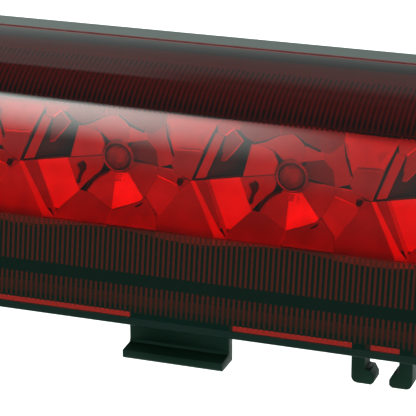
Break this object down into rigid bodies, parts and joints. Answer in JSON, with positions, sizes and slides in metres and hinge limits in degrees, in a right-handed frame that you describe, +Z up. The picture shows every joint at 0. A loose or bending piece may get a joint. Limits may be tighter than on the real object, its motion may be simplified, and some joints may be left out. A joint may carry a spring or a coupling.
{
  "type": "third brake light",
  "caption": "Long high-level brake light with a fluted red lens, faceted reflector, a row of LEDs, panel hooks below, spring clips and a plug socket behind.",
  "frame": {"origin": "midway between the two locating pegs, on the plane of the rear pads that meets the car body", "axes": "+X along the lamp, -Y out through the lens, +Y along the pegs into the car, +Z up"},
  "size_m": [0.3298, 0.0491, 0.0534],
  "materials": {
    "red_lens": "clear red acrylic, polished",
    "black_trim": "black trim, satin",
    "black_housing": "black ABS, fine grain",
    "black_rail": "black moulded plastic, satin",
    "bezel_black": "black ABS, smooth",
    "reflector_metal": "vacuum-metallised ABS",
    "board_green": "green solder mask",
    "led_epoxy": "tinted clear epoxy",
    "lead_metal": "tinned wire",
    "nylon_white": "natural nylon",
    "resistor_body": "lacquered ceramic",
    "diode_black": "moulded epoxy",
    "suppressor_blue": "dipped epoxy",
    "terminal_brass": "stamped and tinned",
    "socket_black": "glass-filled nylon",
    "seal_orange": "silicone rubber",
    "screw_steel": "zinc-plated",
    "gasket_foam": "closed-cell foam",
    "vent_black": "moulded, satin",
    "membrane_white": "breathing film",
    "spring_steel": "phosphated spring steel"
  },
  "bodies": {
    "lamp": {"lens": "red_lens", "edge_trim": "black_trim", "housing": "black_housing", "mounting_rail": "black_rail", "bezel": "bezel_black", "reflector": "reflector_metal", "circuit_board": "board_green", "leds": "led_epoxy", "led_leads": "lead_metal", "led_spacers": "nylon_white", "resistors": "resistor_body", "polarity_diode": "diode_black", "surge_suppressor": "suppressor_blue", "blade_terminals": "terminal_brass", "connector_socket": "socket_black", "socket_seal": "seal_orange", "socket_screws": "screw_steel", "board_screws": "screw_steel", "reflector_screws": "screw_steel", "rail_screws": "screw_steel", "body_gasket": "gasket_foam", "vent_cap": "vent_black", "vent_membrane": "membrane_white", "spring_clip_left": "spring_steel", "spring_clip_right": "spring_steel"},
    "leaf_left": {"spring_leaf_left": "spring_steel"},
    "leaf_right": {"spring_leaf_right": "spring_steel"}
  },
  "joints": [
    {"name": "clip_flex_left", "type": "hinge", "parent": "lamp", "child": "leaf_left", "pos_m": [-0.1, 0.01, 0.0023], "axis": [1, 0, 0], "range_deg": [0, 14], "stiffness_Nm_per_rad": 0.8},
    {"name": "clip_flex_right", "type": "hinge", "parent": "lamp", "child": "leaf_right", "pos_m": [0.1, 0.01, 0.0023], "axis": [1, 0, 0], "range_deg": [0, 14], "stiffness_Nm_per_rad": 0.8}
  ]
}
